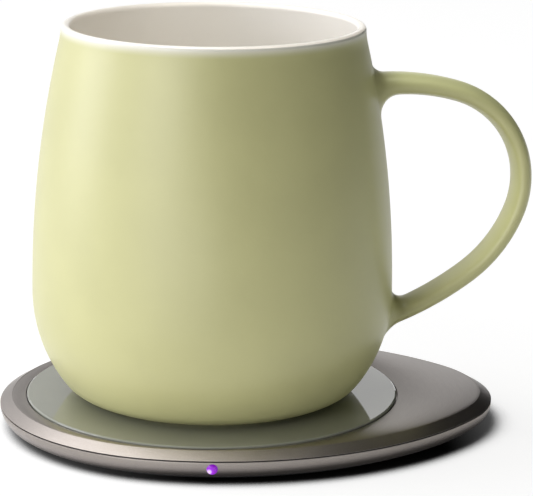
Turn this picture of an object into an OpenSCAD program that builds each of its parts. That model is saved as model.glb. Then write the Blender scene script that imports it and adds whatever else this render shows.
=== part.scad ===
// Ceramic mug kept warm by a low egg-shaped pad with a round glass disc.
// Millimetres, +Z up. The origin is on the table under the mug's axis.
// +X runs to the pad's narrow end and the mug's handle, and -Y is the front.

/* [Mug] */
// height of the mug from its foot to its lip
mug_h = 93.4; // [88:0.2:98]
// outer radius of the mug at its widest
belly_r = 45; // [43:0.5:46]
// height of the widest part above the foot
belly_z = 26.4; // [25.4:0.1:27.4]
// radius of the long curve from the belly up to the lip
side_r = 275; // [240:5:320]
// radius of the curve under the belly
lower_r = 37; // [36:0.1:37.6]
// thickness of the ceramic wall at the belly
wall = 3; // [2.6:0.1:3.4]
// thickness of the ceramic wall at the lip, to which it thins
lip_wall = 1.5; // [1.3:0.1:2.5]
// thickness of the ceramic floor
mug_floor = 5; // [4:0.1:6]
// height of the standing ring under the floor
foot_h = 0.6; // [0.5:0.05:0.9]
// width of the standing ring
foot_w = 3.5; // [2.5:0.1:5]
// thickness of the white glaze inside and over the lip
glaze_t = 0.24; // [0.2:0.02:0.4]
// thickness of the metal film under the floor
film_t = 0.25; // [0.15:0.05:0.4]

/* [Handle] */
// depth of the upper arm's middle line below the lip
handle_drop = 15.4; // [13:0.2:18]
// thickness of the strap
strap_t = 5; // [4.2:0.2:5.8]
// width of the strap
strap_w = 11.4; // [10:0.2:14]
// radius of the upper arm
arm_r = 47.25; // [45:0.25:50]
// radius of the tight upper bend
bend_r = 23.25; // [21:0.25:25]
// radius of the grip below the bend
grip_r = 35.75; // [33:0.25:38]
// radius of the lower arm
tail_r = 80.25; // [74:0.25:86]
// radius of the fillet inside the upper arm
fillet_r = 5.5; // [4.5:0.1:6.5]
// radius of the other three fillets
small_fillet_r = 3.2; // [2.6:0.1:3.8]

/* [Pad] */
// radius of the glass disc
glass_r = 46.7; // [45:0.1:49]
// thickness of the glass disc
glass_t = 1.2; // [1:0.05:1.3]
// height of the glass above the metal around it
glass_proud = 0.45; // [0.3:0.05:0.6]
// metal outside the glass at the wide end
rim_w = 2.9; // [2.8:0.1:4]
// how much larger the sides' radius is than the wide end's
side_extra = 26.5; // [25:0.5:28]
// distance of the glass centre from the wide end's centre
egg_shift = 3.8; // [3.2:0.1:4.2]
// width of the sloping rim
slope_w = 3.05; // [2.5:0.05:3.2]
// height of the sloping rim
slope_h = 1.9; // [1.8:0.05:2.2]
// radius of the rounded lower edge
band_r = 4.6; // [4.6:0.1:5.2]
// thickness of the tray's floor and wall
tray_t = 0.9; // [0.8:0.05:1]
// height of the dark seam
seam_t = 0.25; // [0.2:0.05:0.35]
// thickness of the rubber mat under the pad
mat_t = 1; // [0.8:0.1:1.6]
// radius of the indicator light
light_r = 1.3; // [1:0.1:1.5]

/* [Warming parts] */
// free ring between the coil and the ferrite's edge
coil_margin = 2.2; // [2:0.1:4]
// distance between the coil's turns
coil_pitch = 1.8; // [1.6:0.05:1.8]
// width of the coil's strand
strand_w = 1.35; // [1:0.05:1.4]
// height of the coil's strand
strand_h = 1; // [0.8:0.05:1]
// radius of the coil's inner edge
coil_in = 11; // [10.6:0.1:11]
// thickness of the ferrite ring
ferrite_t = 0.5; // [0.4:0.05:0.5]
// thickness of the circuit board
board_t = 0.8; // [0.6:0.05:0.8]

/* [Hidden] */
$fn = 120;
far = 200;

// clearances
fit = 0.05;
skin_gap = 0.04;
part_gap = 0.3;

// reach of one region of a section into the next
overlap = 1;

// heights in the pad, from the table up
tray_z = mat_t;
floor_z = tray_z + tray_t;
seam_z = tray_z + band_r;
cover_z = seam_z + seam_t;
metal_z = cover_z + slope_h;
glass_z = metal_z + glass_proud;
glass_low_z = glass_z - glass_t;
glue_t = 0.15;
ledge_z = glass_low_z - glue_t;

// the egg outline: four arcs that meet on 7-24-25 and 3-4-5 directions
wide_dir = [-0.28, 0.96];
narrow_dir = [0.8, 0.6];
wide_r = glass_r + rim_w;
wide_x = -egg_shift;
side_arc_r = wide_r + side_extra;
side_x = wide_x - side_extra * wide_dir[0];
side_y = side_extra * wide_dir[1];
narrow_gap = side_y / narrow_dir[1];
narrow_r = side_arc_r - narrow_gap;
narrow_x = side_x + narrow_gap * narrow_dir[0];
half_w = side_arc_r - side_y;
front_y = side_y - sqrt(pow(side_arc_r, 2) - pow(side_x - wide_x, 2));

// metal cover
recess_r = glass_r + part_gap;
ledge_w = 4.7;
ledge_r = glass_r - ledge_w;
recess_wall = 1.8;
ledge_back_r = recess_r + recess_wall;
roof_t = 1;
pocket_x = 32;
boss_r = 2.2;
post_r = 2.6;
post_h = 3;
post_top_z = tray_z + post_h;
seam_inset = 0.3;
mat_step = 1;
mat_inset = band_r + mat_step;

// case screws
case_r = 0.8;
case_head_r = 1.6;
case_head_h = 0.8;
case_len = 3.6;
wide_spot_inset = 2.3;
wide_spot_r = ledge_r + wide_spot_inset;
narrow_spot_inset = 11.5;
narrow_spot_r = narrow_r - narrow_spot_inset;
tip_w = 17;
tip_clear = 2.22;
narrow_spot_y = tip_w / 2 + tip_clear + post_r;
narrow_spot_x = narrow_x + sqrt(pow(narrow_spot_r, 2) - pow(narrow_spot_y, 2));
case_spots = [for (end = [0, 1]) for (side = [-1, 1])
    end == 0 ? wide_spot_r * [-narrow_dir[0], side * narrow_dir[1]] : [narrow_spot_x, side * narrow_spot_y]];

// power socket at the rear
usb_w = 8.94;
usb_h = 3.16;
usb_shell = 0.3;
usb_depth = 7.3;
usb_clear = 0.13;
usb_back = 0.5;
usb_lift = 0.17;
usb_z = floor_z + usb_h / 2 + usb_lift;
usb_recess = 0.8;
usb_face_y = half_w - usb_recess;
tongue_w = 6.7;
tongue_h = 0.7;
tongue_len = 4.6;
usb_tab = [1.7, 1.4, 0.3];
usb_tab_inset = 1.68;

// circuit board
board_z = usb_z - board_t / 2;
board_top_z = board_z + board_t;
carrier_r = ledge_r - 2.2;
board_r = carrier_r - 0.8;
pad_end_x = narrow_x + narrow_r;
root_inset = 21.7;
root_x = pad_end_x - root_inset;
root_w = 33;
tip_inset = 9.7;
tip_x = pad_end_x - tip_inset;
ear_x = carrier_r + 2.5;
ear_w = 6;
ear_end = 3;
led_tab_w = 6;
led_tab_y = front_y + 5.1;
usb_tab_w = 14;
usb_tab_y = half_w - 5.2;
board_screw_r = 0.6;
board_head_r = 1.3;
board_head_h = 0.7;
board_screw_len = board_t + 0.9;
board_spots = [[-ear_x, 0], [root_x - 3.2, root_w / 2 - 3.2], [root_x - 3.2, 3.2 - root_w / 2]];

// coil stack over the board
carrier_foot = 0.4;
carrier_t = 0.6;
carrier_wall = 1.6;
carrier_z = board_top_z + carrier_foot;
ferrite_z = carrier_z + carrier_t;
coil_z = ferrite_z + ferrite_t;
sheet_z = coil_z + strand_h;
sheet_t = 0.2;
ferrite_r = carrier_r - carrier_wall - 0.6;
centre_hole_r = coil_in - 1;
coil_turns = floor((ferrite_r - coil_margin - coil_in) / coil_pitch);
lead_r = 0.45;
lead_hole_r = 0.9;
lead_xs = [coil_in + strand_w / 2, coil_in + coil_turns * coil_pitch + strand_w / 2];
foot_pad_r = 1.5;
foot_pad_ring = 30;
holder_r = 3;
sensor_r = 1.5;
sensor_h = 1;

// parts on the board
chip = [5, 5, 0.9];
chip_x = ledge_back_r - 3.8;
transistor = [4, 5, 1];
transistor_y = 7.5;
inductor = [7, 7, 2.2];
inductor_spot = [tip_x - 6.4, 4.2];
capacitor = [2, 4, 1.8];
capacitor_step = 3;
capacitor_y = -4.5;
led = [3.2, 1.4, 1.2];
light_z = seam_z - 1.7;
collar_r = light_r + 0.4;
collar_len = 1.5;
dome_r = 4;
light_tip_y = front_y + 0.1;
collar_y = led_tab_y - part_gap - collar_len;

// the mug's section: side, lower and corner arcs, which meet on 3-4-5 and 5-12-13 directions
corner_dir = [0.8, -0.6];
well_dir = [12 / 13, -5 / 13];
side_c = [belly_r - side_r, belly_z];
lower_c = [belly_r - lower_r, belly_z];
well_z = foot_h + mug_floor;
lip_swell = 0.1;
lip_r = lip_wall / 2 + lip_swell;
lip_z = mug_h - lip_r - skin_gap - glaze_t;
lip_x = round(50 * (side_at(lip_z, 0) + side_at(lip_z, lip_wall))) / 100;

// the inner side's arc starts upright at the belly, like the outer one, and is flatter, so the wall thins
inner_sag = belly_r - wall - side_at(lip_z, lip_wall);
inner_side_r = round(5 * (pow(lip_z - belly_z, 2) / inner_sag + inner_sag)) / 10;
outer_side = [side_c, side_r];
inner_side = [[belly_r - wall - inner_side_r, belly_z], inner_side_r + wall];
foot_step = 0.6;
foot_r = corner_centre(0, foot_h, corner_dir)[0] - foot_step;
film_r = foot_r - foot_w - part_gap;

// the handle's middle line: four arcs that meet on whole-number directions
arm_end = [0.28, 0.96];
bend_end = [0.936, -0.352];
grip_end = [0.6, -0.8];
arm_top = mug_h - handle_drop;
arm_out = 2.65;
arm_c = [belly_r + arm_out, arm_top - arm_r];
bend_c = arm_c + (arm_r - bend_r) * arm_end;
grip_c = bend_c + (bend_r - grip_r) * bend_end;
tail_c = grip_c + (grip_r - tail_r) * grip_end;
fillet_bite = 0.1;
fillet_t = strap_t - 1;
fillet_w = strap_w - 2.2;
low_root_z = 16;

// outer radius of the side at a height, less an inset
function side_at(z, inset) = side_c[0] + sqrt(pow(side_r - inset, 2) - pow(z - belly_z, 2));

// outer radius under the belly at a height
function lower_at(z) = lower_c[0] + sqrt(pow(lower_r, 2) - pow(belly_z - z, 2));

// distance from the lower arc's centre to the corner's centre, for a floor at low_z
function corner_gap(inset, low_z, dir) = (low_z + lower_r - inset - belly_z) / (1 + dir[1]);

// centre of the corner arc
function corner_centre(inset, low_z, dir) = lower_c + corner_gap(inset, low_z, dir) * dir;

// centre of a fillet beside an arc of the handle, bend = 1 inside the arc and -1 outside it, up = 1 or -1
function fillet_centre(x, c, r, bend, up, f) =
    [x, c[1] + up * sqrt(pow(r - bend * (strap_t / 2 + f - fillet_bite), 2) - pow(x - c[0], 2))];

// half of the mug's filled section, from the axis out, with a side given by its centre and radius
module mug_section(side, inset, low_z, dir, top_z) {
    corner_c = corner_centre(inset, low_z, dir);
    corner_r = lower_r - inset - corner_gap(inset, low_z, dir);
    intersection() {
        translate(side[0])
            circle(r = side[1] - inset, $fn = 720);
        translate([0, belly_z])
            square([far, top_z - belly_z]);
    }
    intersection() {
        translate(lower_c)
            circle(r = lower_r - inset);
        polygon([lower_c, lower_c + far * dir, lower_c + [far, 0], lower_c + [0, overlap]]);
    }
    translate(corner_c)
        circle(r = corner_r);
    polygon([[0, low_z], [corner_c[0], low_z], corner_c, lower_c + [overlap, 0], lower_c + [0, overlap],
        [0, belly_z + overlap]]);
}

// oval of a strap: two flat arcs and two round ends that meet on 5-12-13 directions
module strap_section(t, w) {
    step = (w - t) / 8;
    end_y = 5 * step;
    end_r = t / 2 - step;
    for (turn = [0, 180])
        rotate(turn) {
            intersection() {
                translate([-12 * step, 0])
                    circle(r = 12 * step + t / 2);
                polygon([[0, -end_y], [12 * t, -end_y - 5 * t], [12 * t, end_y + 5 * t], [0, end_y]]);
            }
            intersection() {
                translate([0, end_y])
                    circle(r = end_r);
                polygon([[0, end_y], [12 * t, end_y + 5 * t], [-12 * t, end_y + 5 * t]]);
            }
        }
}

// one arc of a strap in the handle's plane, cut to the wedge between its directions
module strap_arc(c, r, directions, t, w) {
    intersection() {
        translate(c)
            rotate_extrude()
                translate([r, 0])
                    strap_section(t, w);
        translate([0, 0, -w])
            linear_extrude(2 * w)
                polygon(concat([c], [for (d = directions) c + far * d]));
    }
}

// filled egg on the pad's outline: its children draw half a section out to $edge_r
module egg(z_low, z_high) {
    wide_c = [wide_x, 0];
    narrow_c = [narrow_x, 0];
    egg_sector(wide_c, wide_r, z_low, z_high,
        [wide_c, wide_c + far * wide_dir, [-far, 0], wide_c + far * [wide_dir[0], -wide_dir[1]]])
        children();
    egg_sector(narrow_c, narrow_r, z_low, z_high,
        [narrow_c, narrow_c + far * [narrow_dir[0], -narrow_dir[1]], [2 * far, 0], narrow_c + far * narrow_dir])
        children();
    for (up = [-1, 1])
        egg_sector([side_x, -up * side_y], side_arc_r, z_low, z_high,
            [wide_c, narrow_c, narrow_c + far * [narrow_dir[0], up * narrow_dir[1]], [narrow_x, 2 * up * far],
             wide_c + far * [wide_dir[0], up * wide_dir[1]]])
            children();
}

// part of a turned solid inside a plan polygon
module egg_sector(c, r, z_low, z_high, plan) {
    $edge_r = r;
    intersection() {
        translate(c)
            rotate_extrude($fn = 360)
                children();
        translate([0, 0, z_low])
            linear_extrude(z_high - z_low)
                polygon(plan);
    }
}

// egg slab set in from the outline
module egg_slab(inset, z_low, z_high) {
    egg(z_low - 1, z_high + 1)
        translate([0, z_low])
            square([$edge_r - inset, z_high - z_low]);
}

// half section of the tray's filled shape, or of its hollow when inset is above zero
module tray_section(inset, top_z) {
    translate([0, tray_z + inset])
        square([$edge_r - band_r, top_z - tray_z - inset]);
    intersection() {
        translate([$edge_r - band_r, seam_z])
            circle(r = band_r - inset);
        translate([$edge_r - band_r, tray_z])
            square([band_r, band_r]);
    }
    if (top_z > seam_z)
        translate([$edge_r - band_r, seam_z])
            square([band_r - inset, top_z - seam_z]);
}

// slot with round ends, drawn flat
module slot(w, h) {
    square([w - h, h], center = true);
    for (side = [0, 180])
        rotate(side)
            intersection() {
                translate([(w - h) / 2, 0])
                    circle(r = h / 2);
                translate([(w - h) / 2, -h])
                    square([h, 2 * h]);
            }
}

// slot drawn along +Y from the socket's middle
module socket_bar(w, h, y_low, y_high) {
    translate([side_x, y_high, usb_z])
        rotate([90, 0, 0])
            linear_extrude(y_high - y_low)
                slot(w, h);
}

// box that stands on the board, centred on a spot
module on_board(spot, size) {
    translate([spot[0] - size[0] / 2, spot[1] - size[1] / 2, board_top_z])
        cube(size);
}

// screw that points up, with its head's seat at zero
module screw(head_r, head_h, r, len) {
    translate([0, 0, -head_h])
        cylinder(r = head_r, h = head_h);
    translate([0, 0, -head_h / 2])
        cylinder(r = r, h = len + head_h / 2);
}

module mug_body() {
    color([0.66, 0.67, 0.5])
        translate([0, 0, glass_z])
            rotate_extrude($fn = 240) {
                difference() {
                    mug_section(outer_side, 0, foot_h, corner_dir, lip_z);
                    mug_section(inner_side, wall, well_z, well_dir, mug_h);
                }
                translate([lip_x, lip_z])
                    circle(r = lip_r);
                translate([foot_r - foot_w, 0])
                    square([foot_w, 2 * foot_h]);
            }
}

// white lining that stands on the floor and folds over the lip
module inner_glaze() {
    color([0.95, 0.94, 0.91])
        translate([0, 0, glass_z])
            rotate_extrude($fn = 240) {
                difference() {
                    mug_section(inner_side, wall + skin_gap, well_z, well_dir, lip_z);
                    mug_section(inner_side, wall + skin_gap + glaze_t, well_z + glaze_t, well_dir, mug_h);
                    translate([lip_x, lip_z])
                        circle(r = lip_r + skin_gap);
                }
                intersection() {
                    translate([lip_x, lip_z])
                        difference() {
                            circle(r = lip_r + skin_gap + glaze_t);
                            circle(r = lip_r + skin_gap);
                        }
                    translate([0, lip_z])
                        square(far);
                }
            }
}

// strap of four arcs, with a narrower arc as the fillet on each side of both roots
module mug_handle() {
    inner_x = side_at(arm_top - strap_t / 2 - fillet_r, 0) + fillet_r;
    outer_x = side_at(arm_top + strap_t / 2 + small_fillet_r, 0) + small_fillet_r;
    upper_x = belly_r + small_fillet_r;
    lower_x = lower_at(low_root_z - strap_t) + small_fillet_r;
    ring = fillet_t / 2;
    color([0.66, 0.67, 0.5])
        translate([0, 0, glass_z])
            difference() {
                rotate([90, 0, 0]) {
                    strap_arc(arm_c, arm_r, [arm_end, [-arm_end[0], arm_end[1]]], strap_t, strap_w);
                    strap_arc(bend_c, bend_r, [bend_end, [1, 1], arm_end], strap_t, strap_w);
                    strap_arc(grip_c, grip_r, [grip_end, bend_end], strap_t, strap_w);
                    strap_arc(tail_c, tail_r, [[0, -1], grip_end], strap_t, strap_w);
                    strap_arc(fillet_centre(inner_x, arm_c, arm_r, 1, 1, fillet_r), fillet_r + ring,
                        [[0, 1], [-1, 1], [-1, 0]], fillet_t, fillet_w);
                    strap_arc(fillet_centre(outer_x, arm_c, arm_r, -1, 1, small_fillet_r), small_fillet_r + ring,
                        [[-1, 0], [-1, -1], [0, -1]], fillet_t, fillet_w);
                    strap_arc(fillet_centre(upper_x, tail_c, tail_r, 1, -1, small_fillet_r), small_fillet_r + ring,
                        [[-1, 0], [-1, -1], [0, -1]], fillet_t, fillet_w);
                    strap_arc(fillet_centre(lower_x, tail_c, tail_r, -1, -1, small_fillet_r), small_fillet_r + ring,
                        [[0, 1], [-1, 1], [-1, 0]], fillet_t, fillet_w);
                }
                rotate_extrude($fn = 240)
                    mug_section(outer_side, -skin_gap, foot_h - skin_gap, corner_dir, mug_h);
            }
}

module heating_film() {
    color([0.72, 0.72, 0.74])
        translate([0, 0, glass_z + foot_h - film_t])
            cylinder(r = film_r, h = film_t);
}

module glass_disc() {
    bevel_w = 0.4;
    bevel_h = 0.2;
    color([0.68, 0.69, 0.68])
        rotate_extrude($fn = 240)
            polygon([[0, glass_low_z], [glass_r, glass_low_z], [glass_r, glass_z - bevel_h],
                [glass_r - bevel_w, glass_z], [0, glass_z]]);
}

module glass_adhesive() {
    outer_step = 0.5;
    inner_step = 0.6;
    color([0.1, 0.1, 0.1])
        translate([0, 0, ledge_z])
            difference() {
                cylinder(r = glass_r - outer_step, h = glue_t);
                translate([0, 0, -1])
                    cylinder(r = ledge_r + inner_step, h = glue_t + 2);
            }
}

// metal cover with a sloping rim, a ledge for the glass and a hollow under its narrow end
module top_cover() {
    edge_h = 0.1;
    hole_depth = 1.7;
    color([0.6, 0.57, 0.54])
        difference() {
            union() {
                difference() {
                    egg(cover_z - 1, metal_z + 1)
                        polygon([[0, cover_z], [$edge_r, cover_z], [$edge_r, cover_z + edge_h],
                            [$edge_r - slope_w, metal_z], [0, metal_z]]);
                    difference() {
                        intersection() {
                            egg_slab(band_r, cover_z - 1, metal_z - roof_t);
                            translate([pocket_x, -far / 2, 0])
                                cube([far, far, far]);
                        }
                        cylinder(r = ledge_back_r, h = far);
                    }
                }
                for (spot = case_spots)
                    translate([spot[0], spot[1], post_top_z])
                        cylinder(r = boss_r, h = metal_z - roof_t / 2 - post_top_z);
            }
            translate([0, 0, ledge_z])
                cylinder(r = recess_r, h = far, $fn = 240);
            cylinder(r = ledge_r, h = far, $fn = 240);
            for (spot = case_spots)
                translate([spot[0], spot[1], post_top_z - 1])
                    cylinder(r = case_r + fit, h = hole_depth + 1);
        }
}

module seam_gasket() {
    color([0.12, 0.11, 0.11])
        difference() {
            egg_slab(seam_inset, seam_z, cover_z);
            egg_slab(tray_t - fit, seam_z - 1, cover_z + 1);
        }
}

// tray with a rounded lower edge, posts for the screws and holes for the socket and the light
module base_shell() {
    color([0.62, 0.59, 0.57])
        difference() {
            union() {
                difference() {
                    egg(tray_z - 1, seam_z + 1)
                        tray_section(0, seam_z);
                    egg(tray_z - 1, seam_z + 2)
                        tray_section(tray_t, seam_z + 1);
                }
                for (spot = case_spots)
                    translate([spot[0], spot[1], tray_z])
                        cylinder(r = post_r, h = post_top_z - tray_z);
                for (spot = board_spots)
                    translate([spot[0], spot[1], floor_z - tray_t / 2])
                        cylinder(r = boss_r, h = board_z - floor_z + tray_t / 2);
            }
            for (spot = case_spots)
                translate([spot[0], spot[1], 0]) {
                    cylinder(r = case_head_r + 3 * fit, h = floor_z);
                    cylinder(r = case_r + 2 * fit, h = far);
                }
            for (spot = board_spots)
                translate([spot[0], spot[1], board_z - board_screw_len + board_t - 2 * fit])
                    cylinder(r = board_screw_r + fit, h = far);
            socket_bar(usb_w + 2 * usb_clear, usb_h + 2 * usb_clear, usb_face_y - usb_depth, half_w + 1);
            translate([wide_x, collar_y, light_z])
                rotate([90, 0, 0])
                    cylinder(r = light_r + fit, h = far);
        }
}

module foot_mat() {
    color([0.16, 0.16, 0.16])
        egg_slab(mat_inset, 0, mat_t);
}

module case_screws() {
    color([0.7, 0.7, 0.72])
        for (spot = case_spots)
            translate([spot[0], spot[1], floor_z])
                screw(case_head_r, case_head_h, case_r, case_len);
}

module insulation_sheet() {
    color([0.85, 0.83, 0.76])
        translate([0, 0, sheet_z])
            cylinder(r = carrier_r, h = sheet_t);
}

// flat spiral of half turns about two centres
module transmit_coil() {
    color([0.72, 0.42, 0.2])
        translate([0, 0, coil_z])
            linear_extrude(strand_h)
                for (turn = [0:coil_turns - 1], half = [0, 1]) {
                    r = coil_in + turn * coil_pitch + half * coil_pitch / 2;
                    translate([half * coil_pitch / 2, 0])
                        intersection() {
                            difference() {
                                circle(r = r + strand_w);
                                circle(r = r);
                            }
                            translate([-far / 2, half == 0 ? 0 : -far])
                                square(far);
                        }
                }
}

module coil_leads() {
    color([0.75, 0.45, 0.22])
        for (x = lead_xs)
            translate([x, 0, board_top_z])
                cylinder(r = lead_r, h = coil_z - board_top_z);
}

// flat ring with holes for the two leads
module pierced_ring(r, h) {
    difference() {
        cylinder(r = r, h = h);
        translate([0, 0, -1])
            cylinder(r = centre_hole_r, h = h + 2);
        for (x = lead_xs)
            translate([x, 0, -1])
                cylinder(r = lead_hole_r, h = h + 2);
    }
}

module ferrite_ring() {
    color([0.2, 0.2, 0.21])
        translate([0, 0, ferrite_z])
            pierced_ring(ferrite_r, ferrite_t);
}

module coil_carrier() {
    color([0.85, 0.84, 0.8]) {
        translate([0, 0, carrier_z])
            pierced_ring(carrier_r, carrier_t);
        translate([0, 0, carrier_z])
            difference() {
                cylinder(r = carrier_r, h = sheet_z - carrier_z);
                translate([0, 0, -1])
                    cylinder(r = carrier_r - carrier_wall, h = far);
            }
        for (angle = [60, 180, 300])
            rotate(angle)
                translate([foot_pad_ring, 0, board_top_z])
                    cylinder(r = foot_pad_r, h = carrier_foot + carrier_t / 2);
    }
}

module heat_sensor() {
    color([0.15, 0.13, 0.12])
        translate([0, 0, sheet_z - sensor_h])
            cylinder(r = sensor_r, h = sensor_h);
}

module sensor_holder() {
    color([0.8, 0.3, 0.2])
        translate([0, 0, board_top_z])
            cylinder(r = holder_r, h = sheet_z - sensor_h - board_top_z);
}

// board with a root and a tip in the narrow end, an ear, and tabs for the light and the socket
module control_board() {
    color([0.1, 0.36, 0.2])
        translate([0, 0, board_z])
            difference() {
                linear_extrude(board_t) {
                    circle(r = board_r);
                    translate([0, -root_w / 2])
                        square([root_x, root_w]);
                    translate([0, -tip_w / 2])
                        square([tip_x, tip_w]);
                    translate([-ear_x - ear_end, -ear_w / 2])
                        square([ear_x + ear_end, ear_w]);
                    translate([wide_x - led_tab_w / 2, led_tab_y])
                        square([led_tab_w, -led_tab_y]);
                    difference() {
                        translate([side_x - usb_tab_w / 2, 0])
                            square([usb_tab_w, usb_tab_y]);
                        translate([side_x - usb_w / 2 - usb_clear, usb_face_y - usb_depth - usb_clear])
                            square([usb_w + 2 * usb_clear, far]);
                    }
                }
                for (spot = board_spots)
                    translate([spot[0], spot[1], -1])
                        cylinder(r = board_screw_r + 4 * fit, h = board_t + 2);
            }
}

module board_screws() {
    color([0.7, 0.7, 0.72])
        for (spot = board_spots)
            translate([spot[0], spot[1], board_top_z])
                rotate([180, 0, 0])
                    screw(board_head_r, board_head_h, board_screw_r, board_screw_len);
}

module controller_chip() {
    color([0.12, 0.12, 0.13])
        on_board([chip_x, 0], chip);
}

module power_transistors() {
    color([0.14, 0.14, 0.15])
        for (side = [-1, 1])
            on_board([chip_x, side * transistor_y], transistor);
}

// soft pads that lead the transistors' heat into the cover
module thermal_pads() {
    color([0.55, 0.6, 0.68])
        for (side = [-1, 1])
            translate([0, 0, transistor[2]])
                on_board([chip_x, side * transistor_y],
                    [transistor[0], transistor[1], cover_z - board_top_z - transistor[2]]);
}

module power_inductor() {
    color([0.3, 0.3, 0.31])
        on_board(inductor_spot, inductor);
}

module resonant_capacitors() {
    color([0.7, 0.55, 0.35])
        for (i = [-1:1])
            on_board([inductor_spot[0] + i * capacitor_step, capacitor_y], capacitor);
}

module indicator_led() {
    color([0.9, 0.88, 0.8])
        on_board([wide_x, led_tab_y + led[1] / 2], led);
}

// clear stem with a domed tip, held by the hole in the tray
module light_guide() {
    color([0.6, 0.1, 0.85])
        translate([wide_x, 0, light_z])
            rotate([90, 0, 0])
                rotate_extrude()
                    intersection() {
                        union() {
                            translate([0, -collar_y - collar_len])
                                square([collar_r, collar_len]);
                            translate([0, -collar_y - fit])
                                square([light_r, far]);
                        }
                        translate([0, -light_tip_y - dome_r])
                            circle(r = dome_r);
                    }
}

// metal shell of the socket, open to the rear, with two tabs on the board
module usb_socket() {
    color([0.74, 0.74, 0.76]) {
        difference() {
            socket_bar(usb_w, usb_h, usb_face_y - usb_depth, usb_face_y);
            socket_bar(usb_w - 2 * usb_shell, usb_h - 2 * usb_shell,
                usb_face_y - usb_depth + usb_back, usb_face_y + 1);
        }
        for (side = [-1, 1])
            translate([side_x + side * (usb_w / 2 + usb_tab[0] / 2 - usb_shell),
                usb_tab_y - usb_tab_inset, board_top_z + usb_tab[2] / 2])
                cube(usb_tab, center = true);
    }
}

module usb_tongue() {
    color([0.1, 0.1, 0.1])
        translate([side_x - tongue_w / 2, usb_face_y - usb_depth + usb_back, usb_z - tongue_h / 2])
            cube([tongue_w, tongue_len, tongue_h]);
}

mug_body();
mug_handle();
inner_glaze();
heating_film();
glass_disc();
glass_adhesive();
top_cover();
seam_gasket();
base_shell();
foot_mat();
case_screws();
insulation_sheet();
transmit_coil();
coil_leads();
ferrite_ring();
coil_carrier();
heat_sensor();
sensor_holder();
control_board();
board_screws();
controller_chip();
power_transistors();
thermal_pads();
power_inductor();
resonant_capacitors();
indicator_led();
light_guide();
usb_socket();
usb_tongue();
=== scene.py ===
"""Looks of a ceramic mug on an egg-shaped warming pad, laid out as a Blender add-on."""

import math

import bmesh
import bpy
from bpy.props import FloatProperty, FloatVectorProperty, IntProperty, PointerProperty
from mathutils import Matrix, Vector


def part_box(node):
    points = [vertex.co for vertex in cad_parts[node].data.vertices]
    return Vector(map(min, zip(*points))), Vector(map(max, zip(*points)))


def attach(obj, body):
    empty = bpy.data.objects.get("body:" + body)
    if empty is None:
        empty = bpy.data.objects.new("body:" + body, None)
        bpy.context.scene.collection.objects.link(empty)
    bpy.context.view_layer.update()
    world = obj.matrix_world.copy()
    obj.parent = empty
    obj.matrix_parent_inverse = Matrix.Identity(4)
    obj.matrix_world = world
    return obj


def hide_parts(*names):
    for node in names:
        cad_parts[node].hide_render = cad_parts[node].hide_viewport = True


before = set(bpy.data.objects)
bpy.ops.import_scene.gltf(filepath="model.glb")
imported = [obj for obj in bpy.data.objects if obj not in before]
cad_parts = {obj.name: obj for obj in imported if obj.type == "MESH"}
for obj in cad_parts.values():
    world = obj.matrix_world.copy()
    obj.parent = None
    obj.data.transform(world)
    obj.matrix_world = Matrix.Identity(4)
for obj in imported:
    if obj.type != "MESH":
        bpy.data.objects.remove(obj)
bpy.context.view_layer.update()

bl_info = {
    "name": "Mug on a Warming Pad",
    "version": (1, 0, 0),
    "blender": (4, 5, 0),
    "location": "3D View > Sidebar > Mug",
    "description": "Builds a ceramic mug, its egg-shaped warming pad and the studio around them",
    "category": "Object",
}

MM = 0.001
QUARTER = math.pi / 2

# Places in the frame that the pieces keep to
GLASS_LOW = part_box("glass_disc")[0].z
GLASS_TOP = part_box("glass_disc")[1].z
GLASS_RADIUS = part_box("glass_disc")[1].x
LIP_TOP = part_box("inner_glaze")[1].z
COVER_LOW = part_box("seam_gasket")[1].z
COVER_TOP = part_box("top_cover")[1].z
TRAY_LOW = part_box("base_shell")[0].z
TRAY_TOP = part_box("base_shell")[1].z
BOARD_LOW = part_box("control_board")[0].z
MAT_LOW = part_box("foot_mat")[0].z
MAT_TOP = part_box("foot_mat")[1].z
LENS_LOW, LENS_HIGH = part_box("light_guide")
LENS_X, LENS_Z = (LENS_LOW.x + LENS_HIGH.x) / 2, (LENS_LOW.z + LENS_HIGH.z) / 2
SOCKET_LOW, SOCKET_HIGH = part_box("usb_socket")
TONGUE_LOW, TONGUE_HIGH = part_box("usb_tongue")
INLET_X, INLET_Z = (TONGUE_LOW.x + TONGUE_HIGH.x) / 2, (SOCKET_LOW.z + SOCKET_HIGH.z) / 2


def length(name, words, default):
    """A size in metres."""
    return FloatProperty(name=name, description=words, default=default, min=0.0, unit="LENGTH", precision=5)


def colour(name, words, default):
    """A linear colour."""
    return FloatVectorProperty(name=name, description=words, default=default, min=0.0, max=1.0,
                               subtype="COLOR")


def share(name, words, default):
    """A number from 0 to 1."""
    return FloatProperty(name=name, description=words, default=default, min=0.0, max=1.0, subtype="FACTOR")


def angle(name, words, default):
    """An angle in radians."""
    return FloatProperty(name=name, description=words, default=default, subtype="ANGLE")


def power(name, words, default):
    """A lamp's power in watts."""
    return FloatProperty(name=name, description=words, default=default, unit="POWER")


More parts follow.
